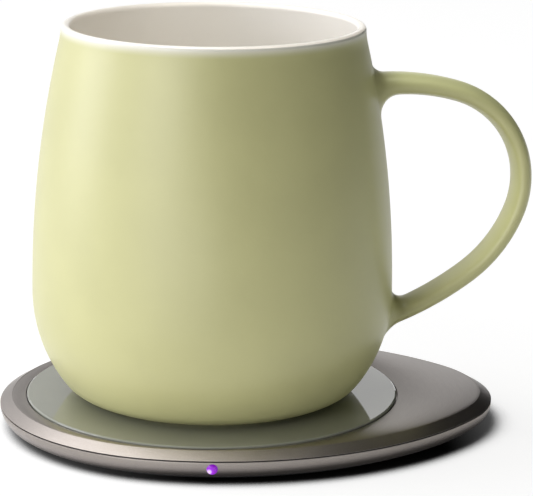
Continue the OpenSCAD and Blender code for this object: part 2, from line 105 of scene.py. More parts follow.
class MugSettings(bpy.types.PropertyGroup):
    """Sizes and colours of the mug."""

    belly_radius: length("Belly radius", "Outer radius at the widest", 45 * MM)
    belly_height: length("Belly height", "Height of the widest part above the foot", 26.4 * MM)
    side_radius: length("Side radius", "Radius of the long curve up to the lip", 275 * MM)
    inner_side_radius: length("Inner side radius",
                              "Radius of the same curve inside, flatter, so the wall thins", 334.2 * MM)
    lower_radius: length("Lower radius", "Radius of the curve under the belly", 37 * MM)
    height: length("Height", "Height of the lip above the foot", LIP_TOP - GLASS_TOP)
    wall: length("Wall", "Thickness of the wall with its glaze at the belly", 3.28 * MM)
    floor: length("Floor", "Height of the floor inside, above the foot", 5.84 * MM)
    foot_height: length("Foot height", "Height of the standing ring", 0.6 * MM)
    lip_radius: length("Lip radius", "Radius of the rounded lip", 1.13 * MM)
    lip_out: length("Lip place", "Distance of the lip's middle from the axis", 36.25 * MM)
    lining: length("Lining", "Thickness of the white lining", 0.24 * MM)
    glaze: colour("Glaze", "Satin green outside", (0.600, 0.588, 0.290))
    white: colour("White", "White glaze inside", (0.965, 0.945, 0.90))
    rounds: IntProperty(name="Rounds", description="Steps around the axis", default=192, min=24, max=512)


class HandleSettings(bpy.types.PropertyGroup):
    """Sizes of the handle."""

    strap_thickness: length("Strap thickness", "Thickness of the strap", 5 * MM)
    strap_width: length("Strap width", "Width of the strap", 11.4 * MM)
    arm_radius: length("Arm radius", "Radius of the upper arm", 47.25 * MM)
    bend_radius: length("Bend radius", "Radius of the tight upper bend", 23.25 * MM)
    grip_radius: length("Grip radius", "Radius of the grip", 35.75 * MM)
    tail_radius: length("Tail radius", "Radius of the lower arm", 80.25 * MM)
    arm_out: length("Arm centre", "Distance of the upper arm's centre outside the belly", 2.65 * MM)
    drop: length("Drop", "Depth of the upper arm's middle line below the lip", 15.4 * MM)
    inner_fillet: length("Inner fillet", "Radius of the fillet under the upper arm", 5.5 * MM)
    tail_fillet: length("Tail fillet", "Radius of the fillet over the lower arm", 5 * MM)
    fillet: length("Fillet", "Radius of the other fillets", 3.2 * MM)
    crest: length("Crest", "How much the upper arm thickens on top toward its root", 0.7 * MM)


class PadSettings(bpy.types.PropertyGroup):
    """Sizes and colours of the warming pad."""

    wide_radius: length("Wide end", "Radius of the wide end", 49.6 * MM)
    wide_shift: length("Shift", "Distance of the wide end's centre behind the disc's", 3.8 * MM)
    side_extra: length("Side extra", "How much larger the sides' radius is", 26.5 * MM)
    slope_width: length("Slope width", "Width of the sloping rim", 3.05 * MM)
    band_radius: length("Band radius", "Radius of the rounded lower edge", 4.6 * MM)
    tray_wall: length("Tray wall", "Thickness of the tray's wall and floor", 0.9 * MM)
    glass_radius: length("Glass radius", "Radius of the glass disc", GLASS_RADIUS)
    recess_radius: length("Recess radius", "Radius of the recess around the glass", GLASS_RADIUS + 0.3 * MM)
    ledge_radius: length("Ledge radius", "Inner radius of the ledge under the glass", 42 * MM)
    bevel: length("Edge", "Rounding of the metal's edges", 0.12 * MM)
    mat_inset: length("Mat inset", "Distance of the mat from the outline", 5.6 * MM)
    metal: colour("Metal", "Warm grey anodised metal", (0.36, 0.327, 0.308))
    under_print: colour("Print", "Grey print under the glass", (0.27, 0.278, 0.238))
    light: colour("Light", "Indicator light", (0.30, 0.0, 0.64))


class StageSettings(bpy.types.PropertyGroup):
    """Camera and light."""

    lens: FloatProperty(name="Lens", description="Focal length in mm at a 36 mm sensor", default=166.15)
    camera: FloatVectorProperty(name="Camera", description="Camera's place", unit="LENGTH", precision=4,
                                default=(-0.0469, -0.5953, 0.1928))
    heading: angle("Heading", "Turn of the view to the right of +Y", math.atan2(0.101, 0.995))
    pitch: angle("Pitch", "Tilt of the view below the horizon", math.radians(13.9))
    roll: angle("Roll", "Roll of the camera", math.radians(0.58))
    side: power("Side", "Power of the tall softbox on the left", 4.15)
    front: power("Front", "Power of the softbox in front, on the left", 2.85)
    top: power("Top", "Power of the softbox high on the left", 2.0)
    zenith: power("Zenith", "Power of the softbox overhead", 2.7)
    inside: power("Inside", "Power of the lamp that lights the mug's inside", 3.7)
    grip: power("Grip", "Power of the lamp that lights the handle", 4.6)
    low_front: power("Low front", "Power of the low reflector in front", 0.14)
    low_left: power("Low left", "Power of the low reflector on the left", 0.06)
    low_right: power("Low right", "Power of the low reflector on the right", 0.115)
    fill: share("Fill", "Level of the light from all around", 0.51)
    ground: colour("Ground", "Floor and backdrop", (0.90, 0.90, 0.90))


class Value:
    """A socket of a finish that can be used in sums."""

    def __init__(self, finish, socket):
        self.finish = finish
        self.socket = socket

    def _math(self, operation, first, second):
        return self.finish.node("ShaderNodeMath", {"operation": operation}, {0: first, 1: second})["Value"]

    def __add__(self, other):
        return self._math("ADD", self, other)

    __radd__ = __add__

    def __sub__(self, other):
        return self._math("SUBTRACT", self, other)

    def __rsub__(self, other):
        return self._math("SUBTRACT", other, self)

    def __mul__(self, other):
        return self._math("MULTIPLY", self, other)

    __rmul__ = __mul__

    def __truediv__(self, other):
        return self._math("DIVIDE", self, other)

    def __rtruediv__(self, other):
        return self._math("DIVIDE", other, self)

    def __pow__(self, other):
        return self._math("POWER", self, other)

    def angle(self, other):
        """Angle of the point whose height is this value and whose width is the other."""
        return self._math("ARCTAN2", self, other)

    def most(self, other):
        """The larger of two values."""
        return self._math("MAXIMUM", self, other)

    def step(self, low, high):
        """0 below low, 1 above high and a smooth ramp between."""
        return self.finish.node("ShaderNodeMapRange", {"interpolation_type": "SMOOTHSTEP"},
                                {"Value": self, "From Min": low, "From Max": high})["Result"]


class Node:
    """A node whose outputs are read by name."""

    def __init__(self, finish, node):
        self.finish = finish
        self.node = node

    def __getitem__(self, name):
        return Value(self.finish, self.node.outputs[name])


# Sockets of a Mix node that are used when it mixes colours
MIX_FIRST, MIX_SECOND, MIX_RESULT = 6, 7, 2


def opaque(tone):
    """A colour with its alpha."""
    return tone if isinstance(tone, Value) else (*tone[:3], 1.0)


class Finish:
    """A node tree under construction, for a material or the world."""

    def __init__(self, tree):
        self.tree = tree
        self.tree.nodes.clear()

    def node(self, kind, settings=None, inputs=None):
        """Adds a node, sets its settings first, and then fills its sockets with values or links."""
        made = self.tree.nodes.new(kind)
        for name, value in (settings or {}).items():
            setattr(made, name, value)
        for name, value in (inputs or {}).items():
            if isinstance(value, Value):
                self.tree.links.new(value.socket, made.inputs[name])
            else:
                made.inputs[name].default_value = value
        return Node(self, made)

    def place(self):
        """Object coordinates."""
        return self.node("ShaderNodeTexCoord")["Object"]

    def axes(self, where):
        """X, Y and Z of a place."""
        return self.node("ShaderNodeSeparateXYZ", {}, {0: where})

    def vector(self, operation, *vectors):
        """Vector maths."""
        return self.node("ShaderNodeVectorMath", {"operation": operation}, dict(enumerate(vectors)))

    def noise(self, where, scale, detail=4.0):
        """Fractal noise from 0 to 1."""
        return self.node("ShaderNodeTexNoise", {}, {"Vector": where, "Scale": scale, "Detail": detail})["Fac"]

    def mix(self, factor, first, second):
        """A colour between two colours."""
        return self.node("ShaderNodeMix", {"data_type": "RGBA", "clamp_factor": True},
                         {"Factor": factor, MIX_FIRST: opaque(first), MIX_SECOND: opaque(second)})[MIX_RESULT]

    def bump(self, height, strength, distance):
        """A normal from a height."""
        return self.node("ShaderNodeBump", {}, {"Height": height, "Strength": strength,
                                                 "Distance": distance})["Normal"]

    def surface(self, **inputs):
        """The Principled shader and the output; names are those of the sockets, with _ for a space."""
        named = {name.replace("_", " "): opaque(value) if "Color" in name else value
                 for name, value in inputs.items()}
        shader = self.node("ShaderNodeBsdfPrincipled", {}, named)
        self.node("ShaderNodeOutputMaterial", {}, {"Surface": shader["BSDF"]})


def new_finish(name):
    """A new material and its node tree."""
    material = bpy.data.materials.new(name)
    material.use_nodes = True
    return material, Finish(material.node_tree)


LIP_COLOUR_ANGLE = math.radians(33)
GLAZE_THINS_FROM, GLAZE_THINS_TO = -2.4 * MM, 0.8 * MM


def satin_glaze(mug):
    """Satin green glaze with faint clouds and a soft skin, worn thin under the white of the lip."""
    material, f = new_finish("satin green glaze")
    where = f.place()
    clouds = f.noise(where, scale=55.0, detail=3.0)
    specks = f.noise(where, scale=2600.0, detail=2.0).step(0.66, 0.80)
    skin = f.noise(where, scale=900.0, detail=3.0)
    tone = Vector(mug.glaze)
    base = f.mix(clouds.step(0.30, 0.70), tone * 0.975, tone * 1.02)
    base = f.mix(specks * 0.10, base, tone * 0.80)
    edge = LIP_TOP - (1 - math.sin(LIP_COLOUR_ANGLE)) * mug.lip_radius
    thin = f.axes(where)["Z"].step(edge + GLAZE_THINS_FROM, edge + GLAZE_THINS_TO)
    f.surface(Base_Color=f.mix(thin, base, mug.white), Roughness=0.40 + 0.06 * clouds + 0.03 * skin, IOR=1.5,
              Coat_Weight=0.45, Coat_Roughness=0.32, Normal=f.bump(skin, strength=0.05, distance=0.4 * MM))
    return material


def white_glaze(mug):
    """Glossier white glaze with a faint warm cast."""
    material, f = new_finish("white glaze")
    where = f.place()
    clouds = f.noise(where, scale=40.0, detail=3.0)
    skin = f.noise(where, scale=700.0, detail=2.0)
    tone = Vector(mug.white)
    warm = Vector((tone.x, tone.y * 0.995, tone.z * 0.985))
    f.surface(Base_Color=f.mix(clouds.step(0.2, 0.8), warm, tone), Roughness=0.30 + 0.03 * clouds, IOR=1.5,
              Coat_Weight=0.2, Coat_Roughness=0.20, Normal=f.bump(skin, strength=0.02, distance=0.3 * MM))
    return material


def anodised(pad, name="warm anodised metal", painted_lightness=1.0):
    """Fine blasted and anodised metal with a faint turned grain that runs around the pad."""
    material, f = new_finish(name)
    where = f.place()
    grain = f.noise(where, scale=5200.0, detail=2.0)
    drift = f.noise(where, scale=30.0, detail=2.0)
    axes = f.axes(where)
    out = (axes["X"] ** 2 + axes["Y"] ** 2) ** 0.5
    turn = axes["Y"].angle(axes["X"])
    streak_turn, streak_scale = 14.0, 4200.0
    along = f.node("ShaderNodeCombineXYZ", {}, {0: turn * streak_turn, 1: out * streak_scale,
                                                2: axes["Z"] * streak_scale})["Vector"]
    streaks = f.noise(along, scale=1.0, detail=2.0)
    # A factor on the tone makes lighter or darker copies of the same metal: painted light or shade
    tone = Vector(pad.metal) * painted_lightness
    base = f.mix(grain.step(0.25, 0.75), tone * 0.90, tone * 1.08)
    base = f.mix(streaks.step(0.30, 0.75) * 0.5, base, tone * 0.90)
    f.surface(Base_Color=base, Metallic=1.0, Roughness=0.29 + 0.06 * grain + 0.04 * drift + 0.03 * streaks,
              Normal=f.bump(grain, strength=0.06, distance=0.06 * MM))
    return material


def printed_glass(pad):
    """Polished glass over a grey print with fine metal flakes."""
    material, f = new_finish("printed glass")
    where = f.place()
    flakes = f.noise(where, scale=9000.0, detail=2.0).step(0.62, 0.78)
    clouds = f.noise(where, scale=60.0, detail=2.0)
    tone = Vector(pad.under_print)
    base = f.mix(clouds.step(0.3, 0.7), tone * 0.97, tone * 1.03)
    base = f.mix(flakes * 0.35, base, tone * 1.35)
    f.surface(Base_Color=base, Roughness=0.035 + 0.02 * clouds, IOR=1.52, Coat_Weight=0.6,
              Coat_Roughness=0.02)
    return material


def soft_rubber(name, tone):
    """Matte rubber with a fine moulded grain."""
    material, f = new_finish(name)
    where = f.place()
    grain = f.noise(where, scale=1800.0, detail=3.0)
    dust = f.noise(where, scale=120.0)
    tone = Vector(tone)
    f.surface(Base_Color=f.mix(dust.step(0.35, 0.75), tone, tone * 1.25), Roughness=0.72 + 0.15 * grain,
              Normal=f.bump(grain, strength=0.2, distance=0.2 * MM))
    return material


def plain_finish(name, tone, rough, metallic=0.0, grain=1500.0):
    """A finish with a fine grain in its colour, gloss and surface, for the small and inner parts."""
    material, f = new_finish(name)
    spots = f.noise(f.place(), scale=grain, detail=3.0)
    tone = Vector(tone)
    f.surface(Base_Color=f.mix(spots.step(0.3, 0.7), tone * 0.92, tone * 1.08), Metallic=metallic,
              Roughness=rough + 0.1 * (spots - 0.5), Normal=f.bump(spots, strength=0.08, distance=0.1 * MM))
    return material


HOT_SPOT = LENS_X - 0.75 * MM, 0.0, LENS_Z - 0.6 * MM
HOT_SPOT_TONE = 0.92, 0.78, 1.0


def lit_lens(pad):
    """Violet lens, lit from behind, with a pale hot spot off its middle."""
    material, f = new_finish("lit violet lens")
    where = f.place()
    flat = f.vector("MULTIPLY", f.vector("SUBTRACT", where, HOT_SPOT)["Vector"], (1.0, 0.0, 1.0))["Vector"]
    away = f.vector("LENGTH", flat)["Value"]
    core = 1.0 - away.step(0.3 * MM, 2.3 * MM)
    tone = Vector(pad.light)
    glow = f.mix(core, tone * 0.5, tone * 1.1)
    glow = f.mix(1.0 - away.step(0.2 * MM, 0.85 * MM), glow, HOT_SPOT_TONE)
    f.surface(Base_Color=f.mix(core, tone * 0.25, tone * 0.5), Coat_Weight=0.4, Coat_Roughness=0.12,
              Roughness=0.25 + 0.05 * f.noise(where, scale=3000.0),
              Emission_Color=glow, Emission_Strength=0.9)
    return material


def new_mesh(name, bm):
    """Turns a bmesh into a mesh."""
    mesh = bpy.data.meshes.new(name)
    bm.to_mesh(mesh)
    bm.free()
    return mesh


def shade_smooth(mesh, sharp):
    """Shades a mesh smooth, apart from edges sharper than an angle in degrees."""
    mesh.polygons.foreach_set("use_smooth", [True] * len(mesh.polygons))
    mesh.set_sharp_from_angle(angle=math.radians(sharp))


def new_piece(name, bm, material, body, slot, *nodes, sharp=35.0):
    """Turns a bmesh into a smooth piece that rides on a body and stands for CAD nodes."""
    bmesh.ops.recalc_face_normals(bm, faces=bm.faces[:])
    mesh = new_mesh(name, bm)
    shade_smooth(mesh, sharp)
    mesh.materials.append(material)
    piece = bpy.data.objects.new(name, mesh)
    bpy.context.scene.collection.objects.link(piece)
    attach(piece, body)
    if nodes:
        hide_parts(*nodes)
    return piece


def dress(node, material):
    """Gives a CAD node a finish."""
    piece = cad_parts[node]
    piece.data.materials.clear()
    piece.data.materials.append(material)


def light_only(lamp, piece):
    """Lets a lamp light one piece alone."""
    lit = bpy.data.collections.new(lamp + " lights")
    lit.objects.link(piece)
    bpy.data.objects[lamp].light_linking.receiver_collection = lit


def arc(centre, radius, start, end, steps):
    """Points of an arc in a plane, with angles in radians."""
    angles = [start + (end - start) * i / steps for i in range(steps + 1)]
    return [(centre[0] + radius * math.cos(a), centre[1] + radius * math.sin(a)) for a in angles]


MERGE_DISTANCE = 1e-7


def turned(points, steps, low=0.0):
    """A bmesh of a chain of (radius, height) points, spun around the Z axis."""
    bm = bmesh.new()
    chain = [bm.verts.new((r, 0.0, z + low)) for r, z in points]
    for first, second in zip(chain, chain[1:]):
        bm.edges.new((first, second))
    bmesh.ops.spin(bm, geom=bm.verts[:] + bm.edges[:], cent=(0, 0, 0), axis=(0, 0, 1), dvec=(0, 0, 0),
                   angle=2 * math.pi, steps=steps, use_merge=True, use_normal_flip=False, use_duplicate=False)
    bmesh.ops.remove_doubles(bm, verts=bm.verts[:], dist=MERGE_DISTANCE)
    return bm


def new_ring(bm, count):
    """Vertices and edges of a closed loop, for a loft to start from."""
    verts = bmesh.ops.create_circle(bm, cap_ends=False, segments=count, radius=1.0)["verts"]
    return verts, bm.edges[:]


def next_ring(bm, edges):
    """Extrudes a loop of edges in place and gives the new vertices and edges."""
    grown = bmesh.ops.extrude_edge_only(bm, edges=edges)["geom"]
    verts = {part for part in grown if isinstance(part, bmesh.types.BMVert)}
    new_edges = [part for part in grown if isinstance(part, bmesh.types.BMEdge)]
    return verts, [edge for edge in new_edges if set(edge.verts) <= verts]


# Directions in which the arcs of the mug's section meet, outside and inside
CORNER_WAY = 0.8, -0.6
WELL_WAY = 12 / 13, -5 / 13
CORNER_STEPS, BELLY_STEPS, WALL_STEPS = 14, 24, 48
LIP_FLARE, LIP_FLARE_STEPS = 4 * MM, 12
LIP_GREEN_STEPS, LIP_WHITE_STEPS, LIP_UNDER_STEPS = 6, 24, 16
INNER_LIP_DROP = 0.6 * MM
LINING_EDGE_ANGLE = LIP_COLOUR_ANGLE + 0.03
LINING_GAP = 0.03 * MM
FOOT_STEP, FOOT_WIDTH, FOOT_EDGE = 0.6 * MM, 3.5 * MM, 0.35 * MM
FOOT_INNER_EDGE = 0.7 * FOOT_EDGE
FOOT_DRAFT, FOOT_GROOVE = 0.1 * MM, 0.04 * MM
FOOT_STEPS = 4


def mug_wall_points(mug, inset, low, direction, top, side_radius):
    """Half of the mug's section from its floor up to a height, set in from the outside."""
    lower = mug.belly_radius - mug.lower_radius, mug.belly_height
    gap = (low + mug.lower_radius - inset - lower[1]) / (1 + direction[1])
    corner = lower[0] + gap * direction[0], lower[1] + gap * direction[1]
    turn = math.atan2(direction[1], direction[0])
    side = mug.belly_radius - inset - side_radius, mug.belly_height
    end = math.asin((top - side[1]) / side_radius)
    points = arc(corner, mug.lower_radius - inset - gap, -QUARTER, turn, CORNER_STEPS)
    points += arc(lower, mug.lower_radius - inset, turn, 0.0, BELLY_STEPS)[1:]
    points += arc(side, side_radius, 0.0, end, WALL_STEPS)[1:]
    return points


def inside_points(mug, inset, low):
    """Half of the section of the mug's inside, up to just under the lip."""
    top = mug.height - mug.lip_radius - INNER_LIP_DROP
    return mug_wall_points(mug, inset, low, WELL_WAY, top, mug.inner_side_radius + mug.wall - inset)


def flare(points, end, steps):
    """Carries a chain on in its own direction to an end that it meets upright."""
    (x, z), (x_before, z_before) = points[-1], points[-2]
    rise = end[1] - z
    lean = (x - x_before) / (z - z_before) * rise
    carried = []
    for i in range(1, steps + 1):
        t = i / steps
        eased = t * t * (3 - 2 * t)
        carried.append((x + (end[0] - x) * eased + lean * t * (1 - t) ** 2, z + rise * t))
    return points + carried


class MUGPAD_OT_mug_wall(bpy.types.Operator):
    """Ceramic wall with its standing ring and satin green glaze"""

    bl_idname = "mugpad.mug_wall"
    bl_label = "Mug Wall"

    def execute(self, context):
        mug = context.scene.mugpad_mug
        lip = mug.lip_out, mug.height - mug.lip_radius
        out = mug_wall_points(mug, 0.0, mug.foot_height, CORNER_WAY, lip[1] - LIP_FLARE, mug.side_radius)
        out = flare(out, (lip[0] + mug.lip_radius, lip[1]), LIP_FLARE_STEPS)
        foot_out = out[0][0] - FOOT_STEP
        foot_in = foot_out - FOOT_WIDTH
        points = [(0.0, mug.foot_height)]
        points += arc((foot_in - FOOT_EDGE, mug.foot_height - FOOT_EDGE), FOOT_EDGE, QUARTER, 0.0, FOOT_STEPS)
        points += arc((foot_in + FOOT_INNER_EDGE, FOOT_INNER_EDGE), FOOT_INNER_EDGE, math.pi, 3 * QUARTER,
                      FOOT_STEPS)
        points += arc((foot_out - FOOT_EDGE, FOOT_EDGE), FOOT_EDGE, -QUARTER, 0.0, FOOT_STEPS)
        points += [(foot_out + FOOT_DRAFT, mug.foot_height - FOOT_GROOVE)]
        points += out
        points += arc(lip, mug.lip_radius, 0.0, LIP_COLOUR_ANGLE, LIP_GREEN_STEPS)[1:]
        under = mug.lining + LINING_GAP
        points += arc(lip, mug.lip_radius - under, LIP_COLOUR_ANGLE, math.pi, LIP_UNDER_STEPS)
        points += inside_points(mug, mug.wall - under, mug.floor - under)[::-1] + [(0.0, mug.floor - under)]
        bm = turned(points, mug.rounds, GLASS_TOP)
        new_piece("mug_wall", bm, satin_glaze(mug), "mug", "green_glaze", "mug_body", sharp=40.0)
        return {"FINISHED"}


class MUGPAD_OT_mug_lining(bpy.types.Operator):
    """White glaze on the floor, the inner wall and over the lip"""

    bl_idname = "mugpad.mug_lining"
    bl_label = "Mug Lining"

    def execute(self, context):
        mug = context.scene.mugpad_mug
        lip = mug.lip_out, mug.height - mug.lip_radius
        points = [(0.0, mug.floor)] + inside_points(mug, mug.wall, mug.floor)
        points += arc(lip, mug.lip_radius, math.pi, LINING_EDGE_ANGLE, LIP_WHITE_STEPS)
        points += arc(lip, mug.lip_radius - mug.lining, LINING_EDGE_ANGLE, math.pi, LIP_UNDER_STEPS)
        points += inside_points(mug, mug.wall - mug.lining, mug.floor - mug.lining)[::-1]
        points += [(0.0, mug.floor - mug.lining)]
        bm = turned(points, mug.rounds, GLASS_TOP)
        piece = new_piece("mug_lining", bm, white_glaze(mug), "mug", "white_glaze", "inner_glaze", sharp=50.0)
        light_only("inside_softbox", piece)
        return {"FINISHED"}


# Directions in which the handle's four arcs meet
HANDLE_WAYS = Vector((0.28, 0.96)), Vector((0.936, -0.352)), Vector((0.6, -0.8))
UPPER_ROOT, LOWER_ROOT = math.radians(112), math.radians(-82)
ROOT_SINK = 0.4 * MM
ROOT_STEPS, ARM_STEPS, BEND_STEPS, GRIP_STEPS, TAIL_STEPS = 10, 10, 30, 14, 10
STRAP_FACE_STEPS, STRAP_END_STEPS = 12, 16
HALVINGS = 48


def oval(thickness, width):
    """Points and outward directions of the strap's section: two flat arcs and two round ends."""
    # The section's middle and the centres of both arcs form a triangle with sides of 5, 12 and 13 steps
    step = (width - thickness) / 8
    flat = math.asin(5 / 13)
    half = []
    for centre, radius, start, end, count in (
        ((-12 * step, 0.0), 12 * step + thickness / 2, -flat, flat, STRAP_FACE_STEPS),
        ((0.0, 5 * step), thickness / 2 - step, flat, math.pi - flat, STRAP_END_STEPS),
    ):
        for i in range(count):
            a = start + (end - start) * i / count
            way = math.cos(a), math.sin(a)
            half.append((Vector((centre[0] + radius * way[0], centre[1] + radius * way[1])), Vector(way)))
    return half + [(-point, -way) for point, way in half]


class HandlePath:
    """Middle line of the handle in the XZ plane, as four arcs, and the strap's places on the wall."""

    def __init__(self, mug, handle):
        self.mug = mug
        arm = Vector((mug.belly_radius + handle.arm_out, mug.height - handle.drop - handle.arm_radius))
        bend = arm + (handle.arm_radius - handle.bend_radius) * HANDLE_WAYS[0]
        grip = bend + (handle.bend_radius - handle.grip_radius) * HANDLE_WAYS[1]
        tail = grip + (handle.grip_radius - handle.tail_radius) * HANDLE_WAYS[2]
        self.arm = arm, handle.arm_radius
        self.bend = bend, handle.bend_radius
        self.grip = grip, handle.grip_radius
        self.tail = tail, handle.tail_radius
        self.turns = [math.atan2(way.y, way.x) for way in HANDLE_WAYS]

    def at(self, part, turn, out, aside):
        """Point on an arc, out from its middle line and aside from the plane."""
        centre, radius = part
        return Vector((centre.x + (radius + out) * math.cos(turn), aside,
                       centre.y + (radius + out) * math.sin(turn)))

    def wall_gap(self, point):
        """Distance of a point from the mug's outside."""
        across = math.hypot(point.x, point.y)
        radius = self.mug.side_radius if point.z > self.mug.belly_height else self.mug.lower_radius
        return math.hypot(across - (self.mug.belly_radius - radius), point.z - self.mug.belly_height) - radius

    def root(self, part, near, far, out, aside, gap):
        """Angle on an arc where a line of the strap is a gap away from the wall."""
        for _ in range(HALVINGS):
            middle = (near + far) / 2
            if self.wall_gap(self.at(part, middle, out, aside)) < gap:
                near = middle
            else:
                far = middle
        return (near + far) / 2


class MUGPAD_OT_handle(bpy.types.Operator):
    """Oval strap of four arcs that flares into the wall at both roots"""

    bl_idname = "mugpad.handle"
    bl_label = "Handle"

    def execute(self, context):
        mug, handle = context.scene.mugpad_mug, context.scene.mugpad_handle
        path = HandlePath(mug, handle)
        section = oval(handle.strap_thickness, handle.strap_width)
        lines = [self.line(path, handle, point, way) for point, way in section]
        bm = bmesh.new()
        rank = bm.verts.layers.int.new("line")
        loop, edges = new_ring(bm, len(section))
        for i, vert in enumerate(loop):
            vert.co = lines[i][0]
            vert[rank] = i
        for station in range(1, len(lines[0])):
            verts, edges = next_ring(bm, edges)
            for vert in verts:
                vert.co = lines[vert[rank]][station]
        bm.faces.new(loop)
        bm.faces.new(sorted(verts, key=lambda vert: vert[rank]))
        bmesh.ops.translate(bm, verts=bm.verts[:], vec=(0.0, 0.0, GLASS_TOP))
        piece = new_piece("mug_grip", bm, satin_glaze(mug), "mug", "green_glaze", "mug_handle", sharp=60.0)
        light_only("handle_softbox", piece)
        return {"FINISHED"}

    def line(self, path, handle, point, way):
        """Points along the strap for one point of its section."""
        inward = max(0.0, -way.x) ** 2
        upper = handle.fillet + (handle.inner_fillet - handle.fillet) * inward
        lower = handle.fillet + (handle.tail_fillet - handle.fillet) * inward
        crest = handle.crest * max(0.0, way.x)
        top, mid, low = path.turns
        line, first = self.root_line(path, path.arm, (UPPER_ROOT, top), upper, point, way, crest)
        end, last = self.root_line(path, path.tail, (LOWER_ROOT, low), lower, point, way, 0.0)
        for part, start, stop, steps, rise in (
            (path.arm, first, top, ARM_STEPS, crest),
            (path.bend, top, mid, BEND_STEPS, 0.0),
            (path.grip, mid, low, GRIP_STEPS, 0.0),
            (path.tail, low, last, TAIL_STEPS, 0.0),
        ):
            for i in range(1, steps + 1):
                t = i / steps
                line.append(path.at(part, start + (stop - start) * t, point.x + rise * (1 - t) ** 2, point.y))
        return line[:-1] + end[::-1]

    def root_line(self, path, part, span, fillet, point, way, crest):
        """Points of a root's line from inside the wall to the end of its fillet, and the angle there."""
        points = []
        for i in range(ROOT_STEPS + 1):
            a = QUARTER * i / ROOT_STEPS
            flared = fillet * (1 - math.sin(a))
            out, aside = point.x + crest + way.x * flared, point.y + way.y * flared
            if i == 0:
                points.append(path.at(part, path.root(part, *span, out, aside, -ROOT_SINK), out, aside))
            turn = path.root(part, *span, out, aside, fillet * (1 - math.cos(a)))
            points.append(path.at(part, turn, out, aside))
        return points, turn


class MUGPAD_OT_film(bpy.types.Operator):
    """Metal film under the mug's floor, which the pad heats"""

    bl_idname = "mugpad.film"
    bl_label = "Heating Film"

    def execute(self, context):
        dress("heating_film", plain_finish("printed metal film", (0.48, 0.47, 0.46), 0.38, metallic=1.0))
        return {"FINISHED"}


# Directions in which the arcs of the pad's outline meet
WIDE_WAY, NARROW_WAY = Vector((-0.28, 0.96)), Vector((0.8, 0.6))
WIDE_END_STEPS, OUTLINE_STEPS = 88, 52


def outline(pad):
    """Places and outward directions on the pad's egg outline: four arcs that meet smoothly."""
    start = Vector((-pad.wide_shift, 0.0))
    side_radius = pad.wide_radius + pad.side_extra
    side = start - pad.side_extra * WIDE_WAY
    gap = pad.side_extra * WIDE_WAY.y / NARROW_WAY.y
    end = Vector((side.x + gap * NARROW_WAY.x, 0.0))
    other = Vector((side.x, -side.y))
    first, second = math.atan2(WIDE_WAY.y, WIDE_WAY.x), math.atan2(NARROW_WAY.y, NARROW_WAY.x)
    places = []
    for centre, radius, low, high, count in (
        (start, pad.wide_radius, first, 2 * math.pi - first, WIDE_END_STEPS),
        (other, side_radius, -first, -second, OUTLINE_STEPS),
        (end, side_radius - gap, -second, second, OUTLINE_STEPS),
        (side, side_radius, second, first, OUTLINE_STEPS),
    ):
        for i in range(count):
            a = low + (high - low) * i / count
            way = Vector((math.cos(a), math.sin(a)))
            places.append((centre + radius * way, way))
    return places


class EggLoft:
    """A bmesh grown ring by ring from the pad's outline."""

    def __init__(self, pad, inset, height):
        self.bm = bmesh.new()
        self.way = self.bm.verts.layers.float_vector.new("outward")
        places = outline(pad)
        loop, self.first = new_ring(self.bm, len(places))
        for vert, (place, way) in zip(loop, places):
            inner = place - inset * way
            vert.co = inner.x, inner.y, height
            vert[self.way] = way.x, way.y, 0.0
        self.edges = self.first
        self.inset = inset

    def along(self, *points):
        """The next rings on the outline, each set in and at a height."""
        for inset, height in points:
            verts, self.edges = next_ring(self.bm, self.edges)
            for vert in verts:
                vert.co -= (inset - self.inset) * vert[self.way]
                vert.co.z = height
            self.inset = inset

    def around(self, *points):
        """The next rings on circles around the Z axis, each with a radius and a height."""
        for radius, height in points:
            verts, self.edges = next_ring(self.bm, self.edges)
            for vert in verts:
                flat = vert.co.xy.normalized() * radius
                vert.co = flat.x, flat.y, height

    def join(self):
        """Joins the last ring to the first."""
        bmesh.ops.bridge_loops(self.bm, edges=self.first + self.edges)

    def cap(self):
        """Closes the last ring and the first with a face each."""
        for edges in (self.edges, self.first):
            bmesh.ops.edgeloop_fill(self.bm, edges=edges)


METAL_SHARP = 30.0
STUD_SIDES = 32
# How far a cutting shape reaches past what it cuts
BEYOND = 1 * MM


def studs(spots, radius, low, high, bm=None):
    """A bmesh with an upright round bar at each spot."""
    bm = bm or bmesh.new()
    for x, y in spots:
        made = bmesh.ops.create_cone(bm, cap_ends=True, segments=STUD_SIDES, radius1=radius, radius2=radius,
                                     depth=high - low)["verts"]
        bmesh.ops.translate(bm, verts=made, vec=(x, y, (low + high) / 2))
    return bm


def prism(points, move, bm=None):
    """A bmesh of a closed outline drawn along a straight line."""
    bm = bm or bmesh.new()
    face = bm.faces.new([bm.verts.new(point) for point in points])
    grown = bmesh.ops.extrude_face_region(bm, geom=[face])["geom"]
    moved = [part for part in grown if isinstance(part, bmesh.types.BMVert)]
    bmesh.ops.translate(bm, verts=moved, vec=move)
    return bm


def bar(points, back, front, bm=None):
    """A bmesh of a closed outline of (x, z) points drawn along Y."""
    return prism([(x, back, z) for x, z in points], (0.0, front - back, 0.0), bm)


def reshape(piece, operation, bm):
    """Joins a tool's shape to a piece or takes it away."""
    bmesh.ops.recalc_face_normals(bm, faces=bm.faces[:])
    tool = bpy.data.objects.new("tool", new_mesh("tool", bm))
    bpy.context.scene.collection.objects.link(tool)
    change = piece.modifiers.new("shape", "BOOLEAN")
    change.operation = operation
    change.solver = "EXACT"
    change.object = tool
    bpy.context.view_layer.update()
    piece.data = bpy.data.meshes.new_from_object(piece.evaluated_get(bpy.context.evaluated_depsgraph_get()))
    piece.modifiers.clear()
    bpy.data.objects.remove(tool)
    shade_smooth(piece.data, METAL_SHARP)


